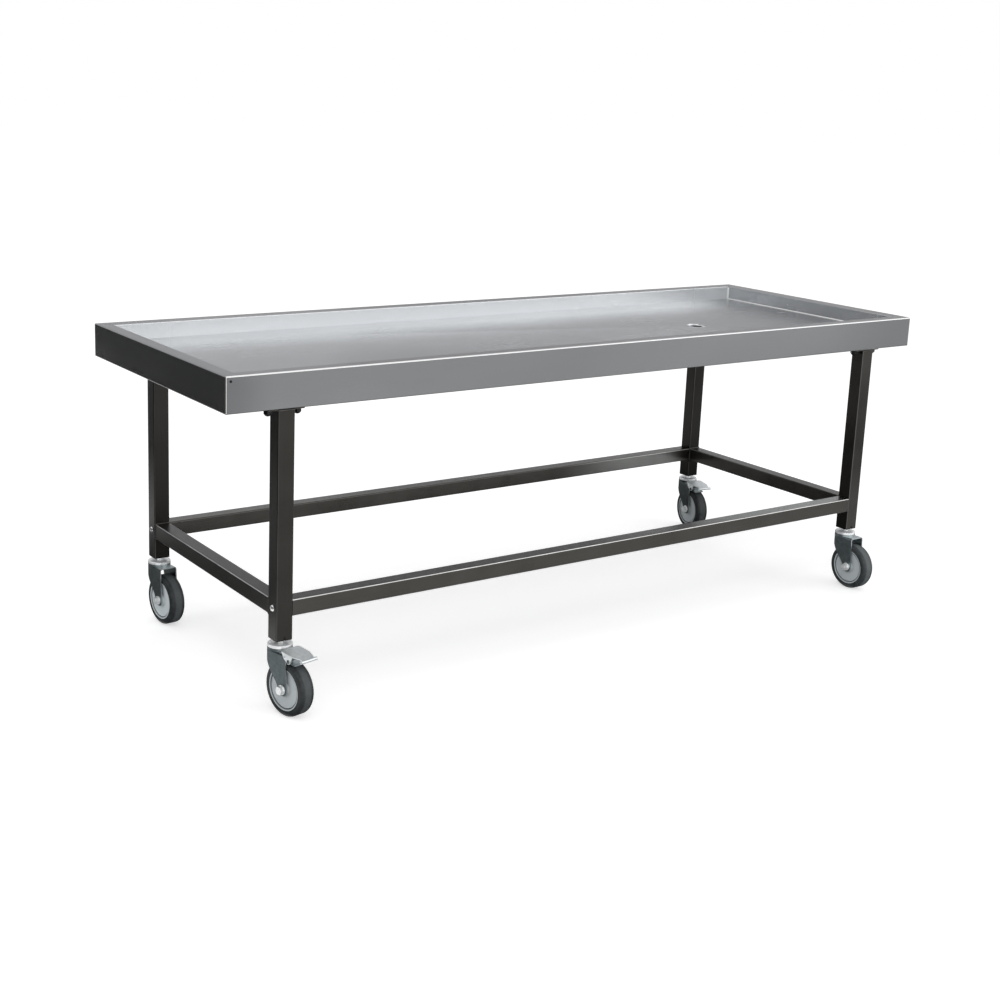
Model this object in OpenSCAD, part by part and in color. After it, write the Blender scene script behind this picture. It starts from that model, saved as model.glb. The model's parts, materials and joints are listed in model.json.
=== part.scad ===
// Dissection table: a drained stainless tray on a square-tube frame with four swivel casters.
// X runs along the table towards the drain end, Y towards the back, Z up from the floor.

/* [Tray] */
// Length of the tray over its skirts
tray_l = 2100; // [1800:10:2400]
// Width of the tray over its skirts
tray_w = 720; // [660:10:900]
// Height of the rim above the floor
table_h = 765; // [700:5:950]
// Height of the outer skirt
skirt_h = 80; // [78:1:110]
// Width of the flat rim around the basin
rim_w = 35; // [24:1:60]
// Depth of the basin floor along its walls
wall_depth = 40; // [32:0.5:42]
// Fall of the floor from the walls to the drain
floor_fall = 10; // [4:0.5:12]
// Thickness of the tray sheet
sheet_t = 1.5; // [1:0.1:2]
// Outer radius of the folded edges
bend_r = 3; // [2.2:0.1:5]
// Width of the return lip under the long skirts
side_lip_w = 62; // [58:1:90]
// Width of the return lip under the end skirts
end_lip_w = 25; // [15:1:60]
// Diameter of the small vent hole in the front skirt
vent_d = 6; // [3:0.5:8]

/* [Drain] */
// Distance from the drain end of the tray to the drain
drain_inset = 470; // [300:5:700]
// Outer diameter of the drain spigot
spigot_d = 38; // [32:1:44]
// Wall of the drain spigot
spigot_wall = 3; // [2:0.25:4]
// Diameter of the drain flange
flange_d = 54; // [50:1:64]
// Thickness of the drain flange
flange_t = 1.5; // [1:0.25:2]
// Thickness of the drain gasket
gasket_t = 2; // [1:0.25:3]
// Height of the drain backnut
backnut_h = 8; // [5:0.5:9]
// Width across the flats of the drain backnut
backnut_af = 50; // [47:1:56]
// Diameter of one strainer hole
strainer_hole_d = 4; // [3:0.25:4.5]

/* [Frame] */
// Outside width of the square leg tube
leg_w = 40; // [36:1:45]
// Wall of the leg tube
leg_wall = 1.5; // [1.2:0.1:2.5]
// Outside width of the square rail tube
rail_w = 38; // [30:1:40]
// Wall of the rail tube
rail_wall = 1.5; // [1.2:0.1:2.5]
// Outer corner radius of both tubes
tube_r = 3; // [2.6:0.1:4.5]
// Distance from the tray ends to the outer faces of the legs
leg_end_inset = 128; // [60:1:250]
// Distance from the long skirts to the outer faces of the legs
leg_side_inset = 13; // [10:1:16]
// Height of the top faces of the lower rails above the floor
rail_top_h = 257; // [230:1:450]
// Width of the drain notch at the foot of each leg
notch_w = 5; // [3:0.5:8]
// Height of that notch
notch_h = 8; // [4:0.5:12]

/* [Leg tops] */
// Length of the plate on top of each leg
plate_l = 90; // [88:1:110]
// Depth of that plate
plate_w = 40; // [36:1:48]
// Thickness of that plate
plate_t = 5; // [3:0.25:6]
// Height of the cap nuts under that plate
cap_nut_h = 15; // [13:0.25:18]
// Thickness of the channel sheet
channel_t = 2; // [1.5:0.1:2.5]
// Width of each turned-out flange of the channels
channel_flange = 14; // [8:1:20]

/* [Bolts] */
// Diameter of the rail bolts
bolt_d = 8; // [6:1:8]
// Diameter of the tray bolts
tray_bolt_d = 10; // [8:1:10]
// Width of a domed head beyond its bolt
bolt_head_w = 7; // [6:1:8]
// Height of the domed heads
bolt_head_h = 4.5; // [3:0.25:6]
// Length of the threaded plug in each end of a long rail
plug_l = 22; // [15:1:40]

/* [Casters] */
// Height from the floor to the foot of the leg
caster_h = 166; // [162:1:180]
// Diameter of the caster wheels
wheel_d = 125; // [110:1:125]
// Width of the wheel tread
wheel_w = 38; // [30:1:39]
// Radial thickness of the tread
tread_t = 14; // [9:0.5:15]
// Radius of the tread shoulders
shoulder_r = 8; // [4:0.5:9]
// Trail from the swivel axis to the axle
trail = 35; // [28:1:36]
// Swivel angle of the front left caster
front_left_turn = -78; // [-180:1:180]
// Swivel angle of the back left caster
back_left_turn = -84; // [-180:1:180]
// Swivel angle of the front right caster
front_right_turn = -90; // [-180:1:180]
// Swivel angle of the back right caster
back_right_turn = -100; // [-180:1:180]

/* [Fork] */
// Height of the fork's top face above the floor
fork_h = 146; // [145:0.5:147]
// Thickness of the fork sheet
fork_t = 2.5; // [2:0.25:3]
// Clear width between the fork arms
fork_gap = 41.5; // [41:0.5:44]
// Outer radius where the arms bend down from the top
fork_bend_r = 6; // [4:0.5:8]
// Reach of the fork's top behind the swivel axis
fork_reach = 45; // [42:1:50]
// Radius of the fork eye round the axle
eye_r = 15; // [12:0.5:17]
// Radius of the bright swivel rings
ring_r = 28; // [27:0.5:28.5]
// Diameter of one bearing ball
ball_d = 6.8; // [6:0.2:6.8]
// Number of balls in one bearing
ball_count = 16; // [10:1:17]

/* [Axle] */
// Diameter of the axle bolt
axle_d = 10; // [8:0.5:10.5]
// Outer diameter of the bush on the axle
bush_d = 15; // [13.5:0.5:18]
// Width across the flats of the axle nut and bolt head
axle_af = 17; // [16:0.5:19]
// Diameter of the wheel hub
hub_d = 30; // [24:1:40]

/* [Brake] */
// Thickness of the pedal sheet
pedal_t = 2; // [1.5:0.1:2.5]
// Length of the pedal from its pin to its tip
pedal_l = 52; // [46:1:58]
// Width of the pedal's rolled tip
pedal_tip_w = 44; // [36:1:48]
// Outer radius of that roll
pedal_roll_r = 3.8; // [3:0.2:4.6]
// Downward slope of the pedal at rest
pedal_slope = 5; // [3:0.5:8]
// Turn of the pedal from free to locked
brake_travel = 12; // [8:1:14]
// Diameter of the pedal pin and the shoe pin
pin_d = 6; // [4:0.5:6.5]
// Width of the brake shoe
shoe_w = 30; // [16:1:36]
// Length of its flat pad along the tread
shoe_l = 20; // [14:1:24]
// Thickness of that pad
shoe_t = 3; // [2:0.25:3]

/* [Fits] */
// Radial clearance of a shaft that turns in its hole
run_fit = 0.05; // [0.02:0.01:0.1]
// Gap between neighbours that only stand close
seat_gap = 0.3; // [0.2:0.05:0.4]
// Radial clearance of a bolt in its hole
bolt_gap = 0.4; // [0.2:0.1:0.8]

/* [Hidden] */
$fn = 48;

sheet_steel = "#b9bcbe";
tube_steel = "#8d8f90";
zinc_steel = "#5d6569";
bright_steel = "#d9dcde";
wheel_grey = "#a5acaf";
tread_grey = "#4a4f52";
dark_steel = "#4b4c4d";
gasket_black = "#2b2b2b";

// Sides of the table
left = -1;
right = 1;
front = -1;
back = 1;

// Overshoot of a cut past the face that it opens
cut = 1;

// Levels of the tray and the frame
tray_bottom = table_h - skirt_h;
lip_top = tray_bottom + sheet_t;
leg_top = tray_bottom - plate_t;
rail_mid_h = rail_top_h - rail_w / 2;
floor_edge_h = table_h - wall_depth;
floor_low_h = floor_edge_h - floor_fall;
axle_h = wheel_d / 2;

// Places in plan
leg_x = tray_l / 2 - leg_end_inset - leg_w / 2;
leg_mid_reach = tray_w / 2 - leg_side_inset - leg_w / 2;
function leg_y(sy) = mid_y + sy * leg_mid_reach;
function caster_turn(sx, sy) = sx == left
  ? (sy == front ? front_left_turn : back_left_turn)
  : (sy == front ? front_right_turn : back_right_turn);

// Basin
basin_l = tray_l - 2 * rim_w;
basin_w = tray_w - 2 * rim_w;
drain_x = tray_l / 2 - drain_inset;
vent_inset = 12;
vent_drop = 11;

// Channels, as high as the sloping floor leaves room for
plate_bolt_edge = 10;
plate_bolt_l = plate_l - 2 * plate_bolt_edge;
channel_head_room = 2;
channel_w = plate_bolt_l + tray_bolt_d + bolt_head_w + 2 * (channel_t + channel_head_room);
channel_inner_x = leg_x - channel_w / 2 - channel_flange;
channel_drop = floor_fall * min(1, (basin_l / 2 - channel_inner_x) / (basin_l / 2 - drain_x));
channel_top_h = floor_edge_h - channel_drop - sheet_t - seat_gap;

// Leg plates, and their bolts that end in cap nuts
plate_corner_r = 6;
collar_d = 21;
collar_t = 2;
nut_af = 17;
cap_hex_h = 9;
cap_bore_h = 11.5;
cap_bore_rest = 1;
socket_af = 5;
socket_depth = 2.5;
bolt_hole_d = bolt_d + 2 * bolt_gap;
tray_hole_d = tray_bolt_d + 2 * bolt_gap;
plug_rest = 3;

// Drain, from the pressed seat downwards
seat_depth = 2;
seat_play = 1;
seat_r = flange_d / 2 + seat_play;
seat_top_h = floor_low_h - seat_depth;
seat_bottom_h = seat_top_h - sheet_t;
spigot_recess = 1;
spigot_bottom_h = tray_bottom + spigot_recess;
spigot_bore_r = spigot_d / 2 - spigot_wall;
spigot_step = 1;
backnut_bottom_h = seat_bottom_h - gasket_t - backnut_h;
tail_top_h = backnut_bottom_h - spigot_step;
mouth_chamfer = 1.2;
strainer_drop = 6;
strainer_t = 1.2;
strainer_h = seat_top_h - strainer_drop;
strainer_pitch = 6;
strainer_rows = 2;
ledge_w = 2;

// Caster head, from the fork upwards
bead_h = 4;
bead_w = 3.6;
ring_gap = 0.6;
cup_t = 5;
cup_bevel = 1.2;
cup_dish_w = 9;
cup_dish_h = 1.4;
king_pin_d = 12;
king_head_d = 20;
king_head_h = 5;
stem_d = 12;
stem_end = 6;
neck_af = 17;
insert_h = 24;
ball_play = 0.1;
cup_bottom_h = fork_h + bead_h + ring_gap;
cup_roof_h = fork_h + ball_d + 2 * ball_play;
cup_top_h = cup_roof_h + cup_t;
ball_wall_gap = 0.7;
ball_circle_r = ring_r - bead_w - ball_d / 2 - ball_wall_gap;

// Fork, in the caster's own frame: X is the trail, Y the axle
arm_outer = fork_gap / 2 + fork_t;
lead_x = -18;
fork_band = 6;
arm_steps = 12;
arm_shift = 1.7;

// Wheel
core_r = axle_h - tread_t;
rim_ring_w = 3.5;
rim_ring_bevel = 0.8;
rim_groove_w = 2.5;
rim_groove_depth = 5;
core_inset = 0.5;
disc_inset = 2.5;
disc_dish = 1.5;
disc_lip = 1;
hub_end_gap = 0.5;
hub_bevel = 2;
hub_bevel_h = 1.5;
washer_r = 11;
washer_t = 1.6;
axle_nut_h = 8;
axle_head_h = 6.4;
axle_end = 1;

// Brake
pivot_behind = 13;
pivot_drop = 4.5;
pivot_x = trail + pivot_behind;
pivot_h = fork_h - pivot_drop;
ear_r = 6.5;
plate_lift = 9.5;
pedal_front = 17;
pedal_corner = 4;
strap_in = arm_outer + seat_gap;
strap_out = strap_in + pedal_t;
strap_eye_r = 6;
strap_end = 21;
strap_end_h = 3;
shoe_pin_x = 11;
shoe_pin_drop = 6;
shoe_boss_r = 5;
pin_head_r = 4.8;
pin_head_h = 2.6;
pedal_neck_w = 30;
pedal_end = pivot_x + pedal_roll_r + (pedal_l - pedal_roll_r) * cos(pedal_slope)
  + (plate_lift - pedal_roll_r) * sin(pedal_slope);

// The origin lies under the middle of the outline, wheels and pedals included
function wheel_reach(turn) = -trail * sin(turn) + (axle_h - shoulder_r) * abs(sin(turn))
  + (wheel_w / 2 - shoulder_r) * abs(cos(turn)) + shoulder_r;
function pedal_reach(turn) = -pedal_end * sin(turn) + pedal_tip_w / 2 * abs(cos(turn));
front_reach = leg_mid_reach + max(
  wheel_reach(front_left_turn), wheel_reach(front_right_turn), pedal_reach(front_left_turn));
mid_y = max(0, front_reach - tray_w / 2) / 2;

function hex_r(flats) = flats / 2 / cos(30);

// Square with true round corners, centred
module round_square(size, r) {
  square([size[0], size[1] - 2 * r], center = true);
  square([size[0] - 2 * r, size[1]], center = true);
  for (sx = [-1, 1], sy = [-1, 1])
    translate([sx * (size[0] / 2 - r), sy * (size[1] / 2 - r)])
      circle(r);
}

// Stretches a profile drawn across Y and Z evenly along X
module along_x(length) {
  rotate([90, 0, 90])
    translate([0, 0, -length / 2])
      linear_extrude(length)
        children();
}

// Stretches a profile drawn across X and Z evenly along Y
module along_y(length) {
  rotate([90, 0, 0])
    translate([0, 0, -length / 2])
      linear_extrude(length)
        children();
}

module square_tube_profile(width, wall) {
  difference() {
    round_square([width, width], tube_r);
    round_square([width - 2 * wall, width - 2 * wall], tube_r - wall);
  }
}

// Low dome on a flat round base, sitting on z = 0
module dome(d, h) {
  dome_r = (d * d / 4 + h * h) / (2 * h);
  rotate_extrude()
    intersection() {
      translate([0, h - dome_r])
        circle(dome_r);
      square([d / 2, h]);
    }
}

// Domed socket bolt: the head stands on z = 0 and the shank runs down
module socket_bolt(length, d) {
  difference() {
    dome(d + bolt_head_w, bolt_head_h);
    translate([0, 0, bolt_head_h - socket_depth])
      cylinder(h = socket_depth + cut, r = hex_r(socket_af), $fn = 6);
  }
  translate([0, 0, -length])
    cylinder(h = length + bolt_head_h / 4, d = d);
}

module hex_nut(flats, h, bore_d) {
  difference() {
    cylinder(h = h, r = hex_r(flats), $fn = 6);
    translate([0, 0, -cut])
      cylinder(h = h + 2 * cut, d = bore_d + 2 * run_fit);
  }
}

// Box from z = bottom to z = top with all its edges rounded
module folded_box(l, w, bottom, top, r) {
  intersection() {
    along_x(l)
      translate([0, (bottom + top) / 2])
        round_square([w, top - bottom], r);
    along_y(w)
      translate([0, (bottom + top) / 2])
        round_square([l, top - bottom], r);
    translate([0, 0, bottom])
      linear_extrude(top - bottom)
        round_square([l, w], r);
  }
}

// Section of the basin, flared where the rim rolls over into the wall
module flared_profile(w, depth, r, over) {
  translate([-w / 2, -depth])
    square([w, depth]);
  translate([-w / 2 - r, 0])
    square([w + 2 * r, over]);
  difference() {
    translate([-w / 2 - r, -r])
      square([w + 2 * r, r]);
    for (s = [-1, 1])
      translate([s * (w / 2 + r), -r])
        circle(r);
  }
}

module flared_box(l, w, top, depth, r, over) {
  translate([0, 0, top])
    intersection() {
      along_x(l + 2 * r)
        flared_profile(w, depth, r, over);
      along_y(w + 2 * r)
        flared_profile(l, depth, r, over);
    }
}

// Skirts, rim and return lips, folded from one sheet
module folded_edge() {
  difference() {
    folded_box(tray_l, tray_w, tray_bottom, table_h, bend_r);
    folded_box(tray_l - 2 * sheet_t, tray_w - 2 * sheet_t,
               lip_top, table_h - sheet_t, bend_r - sheet_t);
    translate([-tray_l / 2 + end_lip_w, -tray_w / 2 + side_lip_w, tray_bottom - cut])
      cube([tray_l - 2 * end_lip_w, tray_w - 2 * side_lip_w, sheet_t + 2 * cut]);
  }
}

// Floor sheet in four planes that fall from the walls to the drain
module cross_broken_floor(l, w) {
  corners = [[-l / 2, -w / 2], [l / 2, -w / 2], [l / 2, w / 2], [-l / 2, w / 2]];
  top_points = [for (c = corners) [c[0], c[1], floor_edge_h]];
  low_points = [for (c = corners) [c[0], c[1], floor_edge_h - sheet_t]];
  polyhedron(
    points = concat(top_points, [[drain_x, 0, floor_low_h]],
                    low_points, [[drain_x, 0, floor_low_h - sheet_t]]),
    faces = [[1, 0, 4], [2, 1, 4], [3, 2, 4], [0, 3, 4],
             [5, 6, 9], [6, 7, 9], [7, 8, 9], [8, 5, 9],
             [0, 1, 6, 5], [1, 2, 7, 6], [2, 3, 8, 7], [3, 0, 5, 8]]);
}

// Pressed ring that holds the drain flange below the floor
module drain_seat() {
  hole_r = spigot_d / 2 + bolt_gap;
  translate([drain_x, 0, 0])
    rotate_extrude() {
      translate([seat_r, seat_bottom_h])
        square([sheet_t, floor_low_h - seat_bottom_h + sheet_t / 2]);
      translate([hole_r, seat_bottom_h])
        square([seat_r + sheet_t / 2 - hole_r, sheet_t]);
    }
}

module at_plate_bolts() {
  for (sx = [left, right], sy = [front, back], bx = [-1, 1])
    translate([sx * leg_x + bx * plate_bolt_l / 2, leg_y(sy), 0])
      children();
}

module tray() {
  color(sheet_steel) {
    difference() {
      translate([0, mid_y, 0])
        difference() {
          union() {
            folded_edge();
            flared_box(basin_l + 2 * sheet_t, basin_w + 2 * sheet_t, table_h - sheet_t,
                       wall_depth, bend_r - sheet_t, sheet_t / 2);
          }
          flared_box(basin_l, basin_w, table_h, wall_depth + 2 * sheet_t, bend_r, cut);
          translate([vent_inset - tray_l / 2, -tray_w / 2, table_h - vent_drop])
            rotate([90, 0, 0])
              cylinder(h = 4 * sheet_t, d = vent_d, center = true);
        }
      at_plate_bolts()
        translate([0, 0, tray_bottom - cut])
          cylinder(h = sheet_t + 2 * cut, d = tray_hole_d);
    }
    translate([0, mid_y, 0]) {
      difference() {
        cross_broken_floor(basin_l + 2 * sheet_t, basin_w + 2 * sheet_t);
        translate([drain_x, 0, floor_low_h - 2 * sheet_t])
          cylinder(h = 6 * sheet_t, r = seat_r + sheet_t / 2);
      }
      drain_seat();
    }
  }
}

// Hat-section channel across the tray, over one pair of legs
module channel(sx) {
  length = tray_w - 2 * bend_r - 2 * seat_gap;
  height = channel_top_h - lip_top;
  color(tube_steel)
    difference() {
      translate([sx * leg_x, mid_y, lip_top])
        along_y(length) {
          translate([-channel_w / 2, 0])
            square([channel_w, channel_t]);
          for (s = [-1, 1]) {
            translate([s * (channel_w - channel_t) / 2 - channel_t / 2, 0])
              square([channel_t, height]);
            translate([s * (channel_w + channel_flange - channel_t) / 2
                         - (channel_flange + channel_t) / 2, height - channel_t])
              square([channel_flange + channel_t, channel_t]);
          }
        }
      at_plate_bolts()
        translate([0, 0, lip_top - cut])
          cylinder(h = channel_t + 2 * cut, d = tray_hole_d);
    }
}

// Closed nut with a collar and a dome, standing on z = 0
module cap_nut() {
  difference() {
    union() {
      cylinder(h = collar_t, d = collar_d);
      cylinder(h = cap_hex_h, r = hex_r(nut_af), $fn = 6);
      translate([0, 0, cap_hex_h])
        dome(nut_af, cap_nut_h - cap_hex_h);
    }
    translate([0, 0, -cut])
      cylinder(h = cap_bore_h + cut, d = tray_bolt_d + 2 * run_fit);
  }
}

// Bolts through the channels, the tray's lip and the leg plates
module tray_bolts() {
  grip = plate_t + sheet_t + channel_t;
  color(dark_steel)
    at_plate_bolts() {
      translate([0, 0, leg_top + grip])
        socket_bolt(grip + cap_bore_h - cap_bore_rest, tray_bolt_d);
      translate([0, 0, leg_top])
        mirror([0, 0, 1])
          cap_nut();
    }
}

module drain_flange() {
  top = seat_top_h + flange_t;
  color(bright_steel)
    translate([drain_x, mid_y, 0])
      rotate_extrude()
        polygon([
          [spigot_bore_r, top - mouth_chamfer], [spigot_bore_r + mouth_chamfer, top],
          [flange_d / 2, top], [flange_d / 2, seat_top_h],
          [spigot_d / 2, seat_top_h], [spigot_d / 2, tail_top_h],
          [spigot_d / 2 - spigot_step, tail_top_h], [spigot_d / 2 - spigot_step, spigot_bottom_h],
          [spigot_bore_r - ledge_w, spigot_bottom_h], [spigot_bore_r - ledge_w, strainer_h],
          [spigot_bore_r, strainer_h]]);
}

module drain_strainer() {
  color(bright_steel)
    translate([drain_x, mid_y, strainer_h])
      difference() {
        cylinder(h = strainer_t, r = spigot_bore_r - seat_gap);
        for (i = [-strainer_rows:strainer_rows], j = [-strainer_rows:strainer_rows]) {
          x = (i + j / 2) * strainer_pitch;
          y = j * strainer_pitch * cos(30);
          if (norm([x, y]) < spigot_bore_r - strainer_hole_d)
            translate([x, y, -cut])
              cylinder(h = strainer_t + 2 * cut, d = strainer_hole_d);
        }
      }
}

module drain_gasket() {
  color(gasket_black)
    translate([drain_x, mid_y, seat_bottom_h - gasket_t])
      difference() {
        cylinder(h = gasket_t, r = backnut_af / 2);
        translate([0, 0, -cut])
          cylinder(h = gasket_t + 2 * cut, r = spigot_d / 2 + run_fit);
      }
}

module drain_backnut() {
  color(bright_steel)
    translate([drain_x, mid_y, backnut_bottom_h])
      hex_nut(backnut_af, backnut_h, spigot_d);
}

module leg(sx, sy) {
  color(tube_steel)
    translate([sx * leg_x, leg_y(sy), 0])
      difference() {
        translate([0, 0, caster_h])
          linear_extrude(leg_top - caster_h)
            square_tube_profile(leg_w, leg_wall);
        translate([0, 0, rail_mid_h])
          rotate([0, 90, 0])
            cylinder(h = leg_w + 2 * cut, d = bolt_hole_d, center = true);
        translate([-notch_w / 2, sy * leg_w / 2 - leg_wall - cut, caster_h - cut])
          cube([notch_w, 2 * (leg_wall + cut), notch_h + cut]);
      }
}

module leg_plate(sx, sy) {
  color(tube_steel)
    difference() {
      translate([sx * leg_x, leg_y(sy), leg_top])
        linear_extrude(plate_t)
          round_square([plate_l, plate_w], plate_corner_r);
      at_plate_bolts()
        translate([0, 0, leg_top - cut])
          cylinder(h = plate_t + 2 * cut, d = tray_hole_d);
    }
}

// Threaded block welded into the foot of the leg
module leg_insert(sx, sy) {
  width = leg_w - 2 * leg_wall - 2 * seat_gap;
  color(dark_steel)
    translate([sx * leg_x, leg_y(sy), caster_h])
      difference() {
        linear_extrude(insert_h)
          round_square([width, width], tube_r - leg_wall);
        translate([0, 0, -cut])
          cylinder(h = insert_h + 2 * cut, d = stem_d + 2 * run_fit);
      }
}

module long_rail(sy) {
  color(tube_steel)
    translate([0, leg_y(sy), rail_mid_h])
      along_x(2 * leg_x - leg_w)
        square_tube_profile(rail_w, rail_wall);
}

module end_rail(sx) {
  color(tube_steel)
    translate([sx * leg_x, mid_y, rail_mid_h])
      along_y(2 * leg_mid_reach - leg_w)
        square_tube_profile(rail_w, rail_wall);
}

// Runs its children at the outer face of each leg, with +Z pointing outwards
module at_rail_bolts() {
  for (sx = [left, right], sy = [front, back])
    translate([sx * (leg_x + leg_w / 2), leg_y(sy), rail_mid_h])
      rotate([0, sx * 90, 0])
        children();
}

module rail_plugs() {
  width = rail_w - 2 * rail_wall - 2 * seat_gap;
  color(bright_steel)
    at_rail_bolts()
      translate([0, 0, -leg_w - plug_l])
        difference() {
          linear_extrude(plug_l)
            round_square([width, width], tube_r - rail_wall);
          translate([0, 0, -cut])
            cylinder(h = plug_l + 2 * cut, d = bolt_d + 2 * run_fit);
        }
}

module rail_bolts() {
  color(bright_steel)
    at_rail_bolts()
      socket_bolt(leg_w + plug_l - plug_rest, bolt_d);
}

module at_caster(sx, sy) {
  translate([sx * leg_x, leg_y(sy), 0])
    rotate(caster_turn(sx, sy))
      children();
}

// Upper race, riveted king pin and threaded stem
module caster_head() {
  fork_under_h = fork_h - fork_t;
  color(bright_steel) {
    rotate_extrude()
      polygon([
        [0, cup_roof_h], [ring_r - bead_w, cup_roof_h], [ring_r - bead_w, cup_bottom_h],
        [ring_r, cup_bottom_h], [ring_r, cup_top_h - cup_dish_h - cup_bevel],
        [ring_r - cup_bevel, cup_top_h - cup_dish_h], [ring_r - cup_dish_w, cup_top_h],
        [0, cup_top_h]]);
    translate([0, 0, fork_under_h - seat_gap - king_head_h / 2])
      cylinder(h = cup_top_h - fork_under_h + seat_gap, d = king_pin_d);
    translate([0, 0, fork_under_h - seat_gap])
      mirror([0, 0, 1])
        dome(king_head_d, king_head_h);
    translate([0, 0, cup_top_h - cut])
      cylinder(h = caster_h - cup_top_h + cut, r = hex_r(neck_af), $fn = 6);
    translate([0, 0, caster_h - cut])
      cylinder(h = insert_h + stem_end + cut, d = stem_d);
  }
}

module caster_balls() {
  color(bright_steel)
    for (i = [0:ball_count - 1])
      rotate(i * 360 / ball_count)
        translate([ball_circle_r, 0, fork_h + ball_play + ball_d / 2])
          sphere(d = ball_d);
}

// Front edge of a fork arm at t, from the top, 0, to the axle, 1
function arm_edge(t) = [
  lead_x + (trail - eye_r - lead_x) * (1 - cos(180 * pow(t, arm_shift))) / 2,
  fork_h + (axle_h - fork_h) * t];

module fork_side_profile() {
  polygon(concat(
    [for (i = [0:arm_steps]) arm_edge(i / arm_steps)],
    [[trail + eye_r, axle_h], [fork_reach, fork_h]]));
  translate([trail, axle_h])
    circle(eye_r);
  translate([-ring_r, fork_h - fork_band])
    square([fork_reach + ring_r, fork_band]);
}

// Inverted U of the fork, seen along the trail
module fork_end_profile() {
  foot = axle_h - eye_r - cut;
  difference() {
    translate([0, fork_h - (fork_h - foot) / 2])
      round_square([2 * arm_outer, fork_h - foot], fork_bend_r);
    translate([0, (foot - fork_bend_r + fork_h - fork_t) / 2])
      round_square([fork_gap, fork_h - fork_t - foot + fork_bend_r], fork_bend_r - fork_t);
  }
}

module fork(braked) {
  color(zinc_steel)
    difference() {
      union() {
        intersection() {
          along_y(2 * arm_outer + 2 * cut)
            fork_side_profile();
          along_x(4 * fork_reach)
            fork_end_profile();
          linear_extrude(fork_h + cut)
            union() {
              circle(ring_r);
              translate([0, -arm_outer - cut])
                square([trail + 2 * eye_r, 2 * arm_outer + 2 * cut]);
            }
        }
        rotate_extrude()
          translate([ring_r - bead_w, fork_h - fork_t / 2])
            square([bead_w, bead_h + fork_t / 2]);
        if (braked)
          brake_ears();
      }
      translate([0, 0, fork_h - fork_t - cut])
        cylinder(h = fork_t + 2 * cut, r = king_pin_d / 2 + run_fit);
      translate([trail, 0, axle_h])
        rotate([90, 0, 0])
          cylinder(h = 3 * arm_outer, r = axle_d / 2 + run_fit, center = true);
      if (braked)
        translate([pivot_x, 0, pivot_h])
          rotate([90, 0, 0])
            cylinder(h = 3 * arm_outer, r = pin_d / 2 + run_fit, center = true);
    }
}

// Lugs behind the fork arms that carry the pedal pin
module brake_ears() {
  for (s = [-1, 1])
    translate([0, s * (arm_outer - fork_t / 2), 0])
      along_y(fork_t) {
        translate([pivot_x, pivot_h])
          circle(ear_r);
        translate([fork_reach - 2 * ear_r, pivot_h - ear_r])
          square([pivot_x - fork_reach + 2 * ear_r, ear_r]);
      }
}

module caster_axle() {
  color(bright_steel)
    translate([trail, 0, axle_h])
      rotate([90, 0, 0]) {
        translate([0, 0, -arm_outer - washer_t])
          cylinder(h = 2 * arm_outer + 2 * washer_t + axle_nut_h + axle_end, d = axle_d);
        translate([0, 0, -arm_outer - washer_t - axle_head_h])
          cylinder(h = axle_head_h, r = hex_r(axle_af), $fn = 6);
        translate([0, 0, -arm_outer - washer_t])
          cylinder(h = washer_t, r = washer_r);
        translate([0, 0, arm_outer])
          difference() {
            cylinder(h = washer_t, r = washer_r);
            translate([0, 0, -cut])
              cylinder(h = washer_t + 2 * cut, r = axle_d / 2 + run_fit);
          }
        translate([0, 0, arm_outer + washer_t])
          hex_nut(axle_af, axle_nut_h, axle_d);
      }
}

// Sleeve clamped between the arms, on which the wheel turns
module caster_bush() {
  color(bright_steel)
    translate([trail, 0, axle_h])
      rotate([90, 0, 0])
        difference() {
          cylinder(h = fork_gap, d = bush_d, center = true);
          cylinder(h = fork_gap + 2 * cut, r = axle_d / 2 + run_fit, center = true);
        }
}

// Section of the wheel core; half of it, from the bush out to the tread seat, and its mirror
function core_half() =
  let (
    hub_half = fork_gap / 2 - hub_end_gap,
    rim_half = wheel_w / 2 - core_inset,
    groove_half = rim_half - rim_groove_depth,
    disc_half = wheel_w / 2 - disc_inset,
    ring_in = core_r - rim_ring_w,
    disc_r = ring_in - rim_groove_w)
  [[bush_d / 2 + run_fit, hub_half], [hub_d / 2 - hub_bevel, hub_half],
   [hub_d / 2, hub_half - hub_bevel_h], [hub_d / 2 + hub_bevel, disc_half - disc_dish],
   [disc_r - 2 * disc_lip, disc_half - disc_dish], [disc_r - disc_lip, disc_half],
   [disc_r, disc_half], [disc_r, groove_half], [ring_in, groove_half],
   [ring_in, rim_half - rim_ring_bevel], [ring_in + rim_ring_bevel, rim_half], [core_r, rim_half]];

module caster_wheel() {
  half = core_half();
  color(wheel_grey)
    translate([trail, 0, axle_h])
      rotate([90, 0, 0])
        rotate_extrude()
          polygon(concat(half, [for (i = [len(half) - 1:-1:0]) [half[i][0], -half[i][1]]]));
}

module caster_tread() {
  color(tread_grey)
    translate([trail, 0, axle_h])
      rotate([90, 0, 0])
        rotate_extrude() {
          translate([core_r, -wheel_w / 2])
            square([tread_t - shoulder_r, wheel_w]);
          translate([core_r, shoulder_r - wheel_w / 2])
            square([tread_t, wheel_w - 2 * shoulder_r]);
          for (s = [-1, 1])
            translate([axle_h - shoulder_r, s * (wheel_w / 2 - shoulder_r)])
              intersection() {
                circle(shoulder_r);
                translate([0, -shoulder_r])
                  square([shoulder_r, 2 * shoulder_r]);
              }
        }
}

// Puts a brake piece drawn round the pedal pin where it is at rest
module at_pedal_pin(turn) {
  translate([pivot_x, 0, pivot_h])
    rotate([0, turn, 0])
      children();
}

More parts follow.
